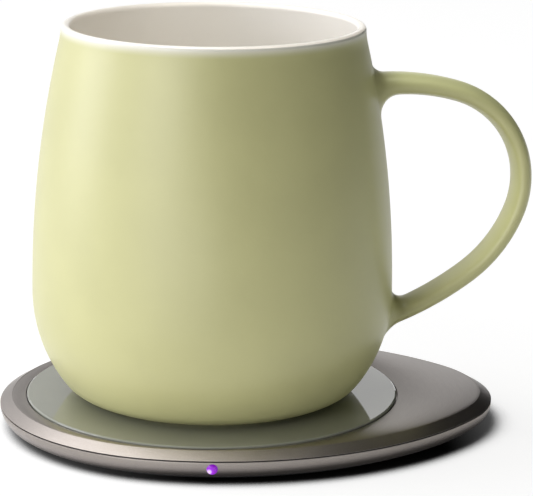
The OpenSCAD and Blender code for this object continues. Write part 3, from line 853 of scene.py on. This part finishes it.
# Screws that hold the case, left and right, and the board
LEFT_SPOTS = [(-35.44 * MM, -26.58 * MM), (-35.44 * MM, 26.58 * MM)]
RIGHT_SPOTS = [(55.3 * MM, -13.32 * MM), (55.3 * MM, 13.32 * MM)]
CASE_SPOTS = LEFT_SPOTS + RIGHT_SPOTS
BOARD_SPOTS = [(-42.3 * MM, 0.0), (46.34 * MM, 13.3 * MM), (46.34 * MM, -13.3 * MM)]
POST_RADIUS, POST_TOP = 2.6 * MM, 4 * MM
BOSS_RADIUS = 2.2 * MM
SCREW_RADIUS, SCREW_HEAD_RADIUS, BOARD_SCREW_RADIUS = 0.9 * MM, 1.75 * MM, 0.65 * MM
COVER_HOLE_RADIUS, COVER_HOLE_DEPTH = 0.85 * MM, 1.7 * MM

# The middle of a rounded edge, as a share of its rounding
EDGE_SOFT = 0.3

# The cover's rim, the ledge under the glass and the hollow at its narrow end
COVER_LAP, COVER_EDGE = 2.4 * MM, 0.1 * MM
SLOPE_BEND, SLOPE_STEPS = 4.0, 6
ADHESIVE = 0.15 * MM
POCKET_START, POCKET_STEPS = 32 * MM, 48
RECESS_WALL, ROOF = 1.8 * MM, 1 * MM


def cover_pocket(pad, low, high):
    """Shape of the hollow under the cover's narrow end, between the recess and the rim."""
    back = pad.recess_radius + RECESS_WALL
    rim = [place - pad.band_radius * way for place, way in outline(pad)]
    turn = math.acos(POCKET_START / back)
    points = [place for place in rim if place.x > POCKET_START]
    points += arc((0.0, 0.0), back, turn, -turn, POCKET_STEPS)
    return prism([(x, y, low) for x, y in points], (0.0, 0.0, high - low))


class MUGPAD_OT_cover(bpy.types.Operator):
    """Metal cover with its sloping rim, flat top, recess for the glass and screw bosses"""

    bl_idname = "mugpad.cover"
    bl_label = "Pad Cover"

    def execute(self, context):
        pad = context.scene.mugpad_pad
        low, high, ledge = COVER_LOW, COVER_TOP, GLASS_LOW - ADHESIVE
        edge, soft = pad.bevel, EDGE_SOFT * pad.bevel
        slope = Vector((pad.slope_width, high - low - COVER_EDGE))
        run = slope.normalized()
        bend = SLOPE_BEND * edge
        start = slope - run * bend / 2
        loft = EggLoft(pad, COVER_LAP, low)
        loft.along((edge, low), (soft, low + soft), (0.0, low + edge))
        loft.along(*[(run.x * edge * part, low + edge + run.y * edge * part) for part in (0.5, 1.0)])
        for turn in range(SLOPE_STEPS + 1):
            a = turn / SLOPE_STEPS
            way = run.lerp(Vector((1.0, 0.0)), a).normalized()
            place = start + (run * (1 - a) + way) * bend / 2 * a
            loft.along((place.x, min(low + COVER_EDGE + place.y, high)))
        loft.along((pad.slope_width + bend, high))
        recess = pad.recess_radius
        loft.around((recess + edge, high), (recess + soft, high - soft), (recess, high - edge),
                    (recess, ledge), (pad.ledge_radius, ledge), (pad.ledge_radius, low))
        loft.join()
        piece = new_piece("pad_cover", loft.bm, anodised(pad), "pad", "pad_metal", "top_cover",
                          sharp=METAL_SHARP)
        reshape(piece, "DIFFERENCE", cover_pocket(pad, low - BEYOND, high - ROOF))
        bosses = studs(LEFT_SPOTS, BOSS_RADIUS, POST_TOP, low + ROOF / 4)
        studs(RIGHT_SPOTS, BOSS_RADIUS, POST_TOP, high - ROOF / 2, bosses)
        reshape(piece, "UNION", bosses)
        reshape(piece, "DIFFERENCE", studs(CASE_SPOTS, COVER_HOLE_RADIUS, POST_TOP - BEYOND,
                                           POST_TOP + COVER_HOLE_DEPTH))
        return {"FINISHED"}


BAND_STEPS = 24
FLOOR_LAP = 3 * MM
LIGHT_HOLE_RADIUS, LIGHT_HOLE_DEPTH, LIGHT_HOLE_STEPS = 1.36 * MM, 3 * MM, 40
INLET_WIDTH, INLET_HEIGHT, INLET_END_STEPS = 9.2 * MM, 3.42 * MM, 12
INLET_FRONT, INLET_BACK = -7 * MM, 3 * MM


def light_opening():
    """Shape of the light's hole."""
    points = arc((LENS_X, LENS_Z), LIGHT_HOLE_RADIUS, 0.0, 2 * math.pi, LIGHT_HOLE_STEPS)[:-1]
    return bar(points, LENS_LOW.y - BEYOND, LENS_LOW.y + LIGHT_HOLE_DEPTH)


def inlet_opening(bm):
    """Adds the shape of the inlet's slot, which has round ends."""
    half, radius = (INLET_WIDTH - INLET_HEIGHT) / 2, INLET_HEIGHT / 2
    points = arc((INLET_X + half, INLET_Z), radius, -QUARTER, QUARTER, INLET_END_STEPS)
    points += arc((INLET_X - half, INLET_Z), radius, QUARTER, 3 * QUARTER, INLET_END_STEPS)
    bar(points, SOCKET_HIGH.y + INLET_FRONT, SOCKET_HIGH.y + INLET_BACK, bm)


class MUGPAD_OT_tray(bpy.types.Operator):
    """Lower metal tray with its rounded edge, screw posts, the light's hole and the inlet's slot"""

    bl_idname = "mugpad.tray"
    bl_label = "Pad Tray"

    def execute(self, context):
        pad = context.scene.mugpad_pad
        low, high, band = TRAY_LOW, TRAY_TOP, pad.band_radius
        floor = low + pad.tray_wall
        edge, soft = pad.bevel, EDGE_SOFT * pad.bevel
        loft = EggLoft(pad, band + FLOOR_LAP, floor)
        loft.along(*arc((band, high), band - pad.tray_wall, 3 * QUARTER, math.pi, BAND_STEPS))
        loft.along((edge, high), (soft, high - soft))
        loft.along(*arc((band, high), band, math.pi, 3 * QUARTER, BAND_STEPS)[1:])
        loft.along((band + FLOOR_LAP, low))
        loft.cap()
        # The tray's metal is the cover's made 4% lighter: painted light that brightens the tray
        piece = new_piece("pad_tray", loft.bm, anodised(pad, "warm anodised tray", 1.04), "pad", "pad_metal",
                          "base_shell", sharp=METAL_SHARP)
        posts = studs(CASE_SPOTS, POST_RADIUS, low + pad.tray_wall / 2, POST_TOP)
        studs(BOARD_SPOTS, BOSS_RADIUS, low + pad.tray_wall / 2, BOARD_LOW, posts)
        reshape(piece, "UNION", posts)
        openings = light_opening()
        inlet_opening(openings)
        studs(CASE_SPOTS, SCREW_HEAD_RADIUS, low - BEYOND, floor, openings)
        reshape(piece, "DIFFERENCE", openings)
        holes = studs(CASE_SPOTS, SCREW_RADIUS, low, POST_TOP + BEYOND)
        studs(BOARD_SPOTS, BOARD_SCREW_RADIUS, BOARD_LOW - BEYOND, BOARD_LOW + BEYOND, holes)
        reshape(piece, "DIFFERENCE", holes)
        return {"FINISHED"}


class MUGPAD_OT_seam(bpy.types.Operator):
    """Dark seam between the cover and the tray"""

    bl_idname = "mugpad.seam"
    bl_label = "Pad Seam"

    def execute(self, context):
        dress("seam_gasket", soft_rubber("dark seam", (0.012, 0.011, 0.011)))
        dress("glass_adhesive", soft_rubber("black adhesive", (0.015, 0.015, 0.016)))
        return {"FINISHED"}


GLASS_BEVEL_WIDTH, GLASS_BEVEL_HEIGHT = 0.4 * MM, 0.2 * MM
GLASS_EDGE, GLASS_LOWER_EDGE = 0.05 * MM, 0.1 * MM
GLASS_ROUNDS = 256


class MUGPAD_OT_glass(bpy.types.Operator):
    """Round glass disc with a polished bevel"""

    bl_idname = "mugpad.glass"
    bl_label = "Glass Disc"

    def execute(self, context):
        pad = context.scene.mugpad_pad
        radius = pad.glass_radius
        inner, shoulder = radius - GLASS_BEVEL_WIDTH, GLASS_TOP - GLASS_BEVEL_HEIGHT
        points = [(0.0, GLASS_LOW), (radius - GLASS_LOWER_EDGE, GLASS_LOW),
                  (radius, GLASS_LOW + GLASS_LOWER_EDGE),
                  (radius, shoulder - GLASS_EDGE), (radius - GLASS_EDGE, shoulder + GLASS_EDGE / 2),
                  (inner + GLASS_EDGE, GLASS_TOP - GLASS_EDGE / 2), (inner - GLASS_EDGE, GLASS_TOP),
                  (0.0, GLASS_TOP)]
        bm = turned(points, GLASS_ROUNDS)
        new_piece("pad_glass", bm, printed_glass(pad), "pad", "printed_glass", "glass_disc", sharp=12.0)
        return {"FINISHED"}


LENS_RADIUS, LENS_DOME_RADIUS = 1.3 * MM, 4 * MM
LENS_FLANGE_RADIUS, LENS_FLANGE_DEPTH = 1.7 * MM, 1.5 * MM
LENS_DOME_STEPS, LENS_ROUNDS = 10, 48


class MUGPAD_OT_lens(bpy.types.Operator):
    """Domed lens of the indicator light"""

    bl_idname = "mugpad.lens"
    bl_label = "Indicator Lens"

    def execute(self, context):
        pad = context.scene.mugpad_pad
        spread = math.asin(LENS_RADIUS / LENS_DOME_RADIUS)
        points = arc((0.0, -LENS_DOME_RADIUS), LENS_DOME_RADIUS, QUARTER, QUARTER - spread, LENS_DOME_STEPS)
        points[0] = (0.0, points[0][1])
        back = LENS_LOW.y - LENS_HIGH.y
        flange = back + LENS_FLANGE_DEPTH
        points += [(LENS_RADIUS, flange), (LENS_FLANGE_RADIUS, flange), (LENS_FLANGE_RADIUS, back),
                   (0.0, back)]
        bm = turned(points, LENS_ROUNDS)
        place = Matrix.Translation((LENS_X, LENS_LOW.y, LENS_Z)) @ Matrix.Rotation(QUARTER, 4, "X")
        bmesh.ops.transform(bm, matrix=place, verts=bm.verts[:])
        new_piece("indicator_lens", bm, lit_lens(pad), "pad", "violet_light", "light_guide")
        return {"FINISHED"}


CONTACTS, CONTACT_PITCH = 12, 0.5 * MM
CONTACT_SIZE, CONTACT_EDGE = (0.26 * MM, 2.6 * MM, 0.05 * MM), 0.015 * MM
CONTACT_DEPTH = 1.9 * MM


class MUGPAD_OT_inlet(bpy.types.Operator):
    """Power inlet: steel shell and tongue with its contacts"""

    bl_idname = "mugpad.inlet"
    bl_label = "Power Inlet"

    def execute(self, context):
        dress("usb_socket", plain_finish("drawn steel", (0.56, 0.56, 0.57), 0.30, metallic=1.0, grain=4000.0))
        dress("usb_tongue", plain_finish("black tongue", (0.02, 0.02, 0.02), 0.45))
        bm = bmesh.new()
        for side in (TONGUE_LOW.z, TONGUE_HIGH.z):
            for i in range(CONTACTS):
                across = INLET_X + (i - (CONTACTS - 1) / 2) * CONTACT_PITCH
                made = bmesh.ops.create_cube(bm, size=1.0)["verts"]
                bmesh.ops.scale(bm, vec=CONTACT_SIZE, verts=made)
                bmesh.ops.translate(bm, vec=(across, TONGUE_HIGH.y - CONTACT_DEPTH, side), verts=made)
        bmesh.ops.bevel(bm, geom=bm.edges[:], offset=CONTACT_EDGE, offset_type="OFFSET", segments=1,
                        profile=0.5, affect="EDGES", material=-1)
        gold = plain_finish("gold contacts", (0.70, 0.47, 0.18), 0.28, metallic=1.0)
        new_piece("inlet_contacts", bm, gold, "pad", "socket_steel")
        return {"FINISHED"}


MAT_EDGE, MAT_EDGE_STEPS = 0.3 * MM, 4
GROOVE_STARTS = 2 * MM, 4 * MM
GROOVE_WIDTH, GROOVE_SLANT, GROOVE_DEPTH = 1 * MM, 0.2 * MM, 0.25 * MM


class MUGPAD_OT_mat(bpy.types.Operator):
    """Rubber mat under the pad with a soft edge and two grooves"""

    bl_idname = "mugpad.mat"
    bl_label = "Foot Mat"

    def execute(self, context):
        pad = context.scene.mugpad_pad
        inset, low = pad.mat_inset, MAT_LOW
        loft = EggLoft(pad, inset, MAT_TOP)
        loft.along(*arc((inset + MAT_EDGE, low + MAT_EDGE), MAT_EDGE, math.pi, 3 * QUARTER, MAT_EDGE_STEPS))
        for start in GROOVE_STARTS:
            near, far = inset + start, inset + start + GROOVE_WIDTH
            loft.along((near, low), (near + GROOVE_SLANT, low + GROOVE_DEPTH),
                       (far - GROOVE_SLANT, low + GROOVE_DEPTH), (far, low))
        loft.cap()
        rubber = soft_rubber("grey rubber mat", (0.035, 0.035, 0.036))
        new_piece("pad_mat", loft.bm, rubber, "pad", "mat_rubber", "foot_mat", sharp=40.0)
        return {"FINISHED"}


# Parts inside the pad: name of the finish, colour, roughness and metal
INNER_FINISHES = {
    "case_screws": ("zinc screws", (0.55, 0.55, 0.57), 0.35, 1.0),
    "board_screws": ("zinc board screws", (0.55, 0.55, 0.57), 0.35, 1.0),
    "insulation_sheet": ("fibre sheet", (0.66, 0.63, 0.54), 0.85, 0.0),
    "transmit_coil": ("enamelled copper", (0.48, 0.18, 0.06), 0.32, 1.0),
    "coil_leads": ("tinned copper", (0.52, 0.22, 0.08), 0.35, 1.0),
    "ferrite_ring": ("ferrite", (0.035, 0.035, 0.038), 0.60, 0.0),
    "coil_carrier": ("ivory plastic", (0.66, 0.64, 0.58), 0.55, 0.0),
    "heat_sensor": ("sensor resin", (0.02, 0.016, 0.014), 0.25, 0.0),
    "sensor_holder": ("red silicone", (0.55, 0.07, 0.03), 0.70, 0.0),
    "control_board": ("green laminate", (0.012, 0.11, 0.035), 0.35, 0.0),
    "controller_chip": ("chip resin", (0.014, 0.014, 0.016), 0.50, 0.0),
    "power_transistors": ("transistor resin", (0.016, 0.016, 0.018), 0.50, 0.0),
    "thermal_pads": ("blue grey silicone", (0.26, 0.32, 0.42), 0.75, 0.0),
    "power_inductor": ("pressed core", (0.07, 0.07, 0.075), 0.65, 0.0),
    "resonant_capacitors": ("tan ceramic", (0.45, 0.26, 0.10), 0.45, 0.0),
    "indicator_led": ("clear resin", (0.80, 0.76, 0.60), 0.20, 0.0),
}


class MUGPAD_OT_inner_parts(bpy.types.Operator):
    """Finishes of the parts inside the pad"""

    bl_idname = "mugpad.inner_parts"
    bl_label = "Inner Parts"

    def execute(self, context):
        for node, (name, tone, rough, metallic) in INNER_FINISHES.items():
            dress(node, plain_finish(name, tone, rough, metallic))
        return {"FINISHED"}


# Softboxes: name, setting of its power, degrees right of the camera and up, distance, size and tone
NEUTRAL = 1.0, 0.99, 0.975
SOFTBOXES = (
    ("side_softbox", "side", (-92, 11), 1.0, (0.55, 0.8), (0.99, 1.0, 1.12)),
    ("front_softbox", "front", (-35, 18), 1.0, (0.52, 0.56), NEUTRAL),
    ("top_softbox", "top", (-111, 49), 1.0, (0.62, 0.46), NEUTRAL),
    ("zenith_softbox", "zenith", (-135, 78), 1.0, (0.62, 0.46), NEUTRAL),
    ("inside_softbox", "inside", (52, 56), 1.0, (0.5, 0.5), (1.0, 0.91, 0.77)),
    ("handle_softbox", "grip", (-70, 62), 1.0, (0.4, 0.4), (0.92, 1.0, 0.98)),
    ("low_front_reflector", "low_front", (-20, -5), 0.36, (0.30, 0.03), NEUTRAL),
    ("low_right_reflector", "low_right", (95, -5), 0.30, (0.20, 0.03), (0.96, 1.0, 0.93)),
    ("low_left_reflector", "low_left", (-75, -5), 0.36, (0.30, 0.03), (0.97, 1.0, 1.1)),
)
UNSEEN_IN_GLOSS = {"low_right_reflector", "low_left_reflector"}

# Cards that the camera doesn't see: name, degrees right of it and up, distance, size and glow
CARDS = (
    ("right_flag", (90, 30), 1.5, (2.6, 2.2), 0.0),
    ("front_flag", (20, 25), 1.6, (1.6, 1.8), 0.0),
    ("high_flag", (90, 68), 1.5, (2.4, 0.8), 0.0),
    ("rear_right_flag", (133, 30), 1.6, (2.0, 2.4), 0.0),
    ("rear_flag", (182, 44), 1.7, (1.2, 1.0), 0.0),
    ("high_rear_flag", (148, 70), 1.5, (1.4, 0.8), 0.0),
    ("left_card", (-148, 38), 1.6, (0.45, 0.5), 1.3),
    ("rear_left_card", (-168, 10), 1.7, (0.75, 0.7), 0.58),
)
CARD_BLACK = 0.012, 0.012, 0.012
TARGET = Vector((0.0, 0.0, 0.05))
SENSOR_WIDTH = 36.0
NEAREST, FARTHEST = 0.02, 50.0
WHITE, BLACK = (1.0, 1.0, 1.0, 1.0), (0.0, 0.0, 0.0, 1.0)

# The floor, and where on it the pad's painted shadow changes
FLOOR_HALF, FLOOR_DROP = 6.0, 0.05 * MM
FAR_RAMP, RIGHT_RAMP = (100 * MM, 180 * MM), (-20 * MM, 75 * MM)
LEFT_RAMP, TIP_RAMP = (-55 * MM, -5 * MM), (55 * MM, 85 * MM)
SHADOW_REACH, SHADOW_REACH_RIGHT = 11 * MM, 13 * MM
SHADOW_SAMPLES = 16
SHADOW_TONE = 0.01, 0.01, 0.01
CLEAR_PLACE, CLEAR_LENGTH, CLEAR_WIDTH = 5 * MM, 48 * MM, 40 * MM


class MUGPAD_OT_stage(bpy.types.Operator):
    """Camera, floor, world and lights"""

    bl_idname = "mugpad.stage"
    bl_label = "Stage"

    def execute(self, context):
        stage = context.scene.mugpad_stage
        context.scene.view_settings.view_transform = "Standard"
        self.camera(context.scene, stage)
        self.world(context.scene, stage)
        self.floor(context.scene, stage)
        for name, setting, way, distance, size, tone in SOFTBOXES:
            self.softbox(name, way, distance, size, getattr(stage, setting), tone)
        for card in CARDS:
            self.card(*card)
        return {"FINISHED"}

    def camera(self, scene, stage):
        """Camera at the photograph's viewing angle."""
        camera = bpy.data.objects.new("camera", bpy.data.cameras.new("camera"))
        camera.data.sensor_width = SENSOR_WIDTH
        camera.data.lens = stage.lens
        camera.data.clip_start, camera.data.clip_end = NEAREST, FARTHEST
        turn = (Matrix.Rotation(-stage.heading, 4, "Z") @ Matrix.Rotation(QUARTER - stage.pitch, 4, "X")
                @ Matrix.Rotation(stage.roll, 4, "Z"))
        camera.matrix_world = Matrix.Translation(Vector(stage.camera)) @ turn
        scene.collection.objects.link(camera)
        scene.camera = camera

    def world(self, scene, stage):
        """White to the camera, in reflections and through clear pieces, and dimmer as light on the object."""
        scene.world = bpy.data.worlds.new("studio")
        scene.world.use_nodes = True
        f = Finish(scene.world.node_tree)
        path = f.node("ShaderNodeLightPath")
        seen = path["Is Camera Ray"].most(path["Is Glossy Ray"]).most(path["Is Transmission Ray"])
        dim = f.node("ShaderNodeBackground", {}, {"Color": WHITE, "Strength": stage.fill})
        white = f.node("ShaderNodeBackground", {}, {"Color": WHITE, "Strength": 1.0})
        both = f.node("ShaderNodeMixShader", {}, {0: seen, 1: dim["Background"], 2: white["Background"]})
        f.node("ShaderNodeOutputWorld", {}, {"Surface": both["Shader"]})

    def floor(self, scene, stage):
        """Pale floor with the pad's soft shadow painted into its material, clear from below and under the
        middle of the pad.
        """
        bm = bmesh.new()
        bmesh.ops.create_grid(bm, x_segments=1, y_segments=1, size=FLOOR_HALF)
        bmesh.ops.translate(bm, verts=bm.verts[:], vec=(0.0, 0.0, -FLOOR_DROP))
        mesh = new_mesh("floor", bm)
        mesh.materials.append(self.pale_floor(stage))
        floor = bpy.data.objects.new("floor", mesh)
        scene.collection.objects.link(floor)

    def pale_floor(self, stage):
        """The floor's material: its own glow makes it white, and a painted shadow darkens it where things
        stand close over it.
        """
        material, f = new_finish("pale floor")
        where = f.place()
        axes = f.axes(where)
        far = f.vector("LENGTH", where)["Value"].step(*FAR_RAMP)
        right, tip = axes["X"].step(*RIGHT_RAMP), axes["X"].step(*TIP_RAMP)
        left = 1.0 - axes["X"].step(*LEFT_RAMP)
        path = f.node("ShaderNodeLightPath")
        straight, glancing = path["Is Camera Ray"], path["Is Glossy Ray"]
        # Painted shadow: the floor darkens where the pad stands close over it, for the camera and in
        # reflections, deeper and wider to the right and paler at the left and the tip
        reach = SHADOW_REACH + SHADOW_REACH_RIGHT * right
        occlusion = f.node("ShaderNodeAmbientOcclusion", {"samples": SHADOW_SAMPLES}, {"Distance": reach})
        darkest, span = 0.24 + 0.31 * right - 0.14 * left, 0.50 - 0.18 * right
        lit = ((occlusion["AO"] - darkest) / span).step(0.0, 1.0)
        depth = 1.0 - 0.05 * left - 0.14 * tip
        near = 1.0 - (straight + 0.88 * glancing) * depth * (1.0 - lit)
        shown = near * (1.0 - 0.7 * straight) * (1.0 - 0.4 * far)
        glow = near * ((0.81 + 0.10 * far) * straight + (0.20 + 0.30 * far) * glancing)
        matte = f.node("ShaderNodeBsdfDiffuse", {}, {"Color": f.mix(shown, SHADOW_TONE, stage.ground)})
        lift = f.node("ShaderNodeEmission", {}, {"Color": f.mix(glow, BLACK, WHITE), "Strength": 1.0})
        solid = f.node("ShaderNodeAddShader", {}, {0: matte["BSDF"], 1: lift["Emission"]})
        clear = f.node("ShaderNodeBsdfTransparent")
        below = f.node("ShaderNodeNewGeometry")["Backfacing"]
        along, across = (axes["X"] - CLEAR_PLACE) / CLEAR_LENGTH, axes["Y"] / CLEAR_WIDTH
        under_pad = 1.0 - (along * along + across * across).step(0.5, 1.0)
        gone = below.most(under_pad)
        both = f.node("ShaderNodeMixShader", {}, {0: gone, 1: solid["Shader"], 2: clear["BSDF"]})
        f.node("ShaderNodeOutputMaterial", {}, {"Surface": both["Shader"]})
        return material

    def aim(self, piece, way, distance):
        """Puts a lamp or card at degrees right of the camera and up, facing the object."""
        turn, up = math.radians(way[0]) - bpy.context.scene.mugpad_stage.heading, math.radians(way[1])
        place = Vector((math.sin(turn), -math.cos(turn), 0.0)) * math.cos(up)
        place.z = math.sin(up)
        facing = (-place).to_track_quat("-Z", "Y").to_matrix().to_4x4()
        piece.matrix_world = Matrix.Translation(TARGET + place * distance) @ facing
        bpy.context.scene.collection.objects.link(piece)

    def softbox(self, name, way, distance, size, watts, tone):
        """A soft lamp that faces the object."""
        lamp = bpy.data.lights.new(name, "AREA")
        lamp.shape = "RECTANGLE"
        lamp.size, lamp.size_y = size
        lamp.energy = watts
        lamp.color = tone
        made = bpy.data.objects.new(name, lamp)
        made.visible_glossy = name not in UNSEEN_IN_GLOSS
        self.aim(made, way, distance)

    def card(self, name, way, distance, size, glow):
        """A card that the camera doesn't see: black, or as pale as its glow."""
        bm = bmesh.new()
        bmesh.ops.create_grid(bm, x_segments=1, y_segments=1, size=0.5)
        bmesh.ops.scale(bm, vec=(*size, 1.0), verts=bm.verts[:])
        mesh = new_mesh(name, bm)
        material, f = new_finish(name)
        f.surface(Base_Color=CARD_BLACK, Roughness=0.9 + 0.1 * f.noise(f.place(), scale=400.0),
                  Emission_Color=(glow, glow, glow), Emission_Strength=1.0)
        mesh.materials.append(material)
        card = bpy.data.objects.new(name, mesh)
        card.visible_camera = False
        card.visible_shadow = False
        self.aim(card, way, distance)


BUILD_ORDER = (
    MUGPAD_OT_stage, MUGPAD_OT_mug_wall, MUGPAD_OT_mug_lining, MUGPAD_OT_handle, MUGPAD_OT_film,
    MUGPAD_OT_cover, MUGPAD_OT_tray, MUGPAD_OT_seam, MUGPAD_OT_glass, MUGPAD_OT_lens, MUGPAD_OT_inlet,
    MUGPAD_OT_mat, MUGPAD_OT_inner_parts,
)

SETTINGS = {
    "mugpad_mug": MugSettings,
    "mugpad_handle": HandleSettings,
    "mugpad_pad": PadSettings,
    "mugpad_stage": StageSettings,
}


class MUGPAD_PT_panel(bpy.types.Panel):
    """Lists the pieces and their settings"""

    bl_idname = "MUGPAD_PT_panel"
    bl_label = "Mug on a Warming Pad"
    bl_space_type = "VIEW_3D"
    bl_region_type = "UI"
    bl_category = "Mug"

    def draw(self, context):
        for operator in BUILD_ORDER:
            self.layout.operator(operator.bl_idname)
        for group in SETTINGS:
            box = self.layout.box()
            settings = getattr(context.scene, group)
            for name in settings.bl_rna.properties.keys():
                if name not in {"rna_type", "name"}:
                    box.prop(settings, name)


def register():
    for group in SETTINGS.values():
        bpy.utils.register_class(group)
    for name, group in SETTINGS.items():
        setattr(bpy.types.Scene, name, PointerProperty(type=group))
    for operator in BUILD_ORDER:
        bpy.utils.register_class(operator)
    bpy.utils.register_class(MUGPAD_PT_panel)


def unregister():
    bpy.utils.unregister_class(MUGPAD_PT_panel)
    for operator in reversed(BUILD_ORDER):
        bpy.utils.unregister_class(operator)
    for name in SETTINGS:
        delattr(bpy.types.Scene, name)
    for group in reversed(SETTINGS.values()):
        bpy.utils.unregister_class(group)


def main():
    register()
    for operator in BUILD_ORDER:
        group, name = operator.bl_idname.split(".")
        getattr(getattr(bpy.ops, group), name)()


if __name__ == "__main__":
    main()
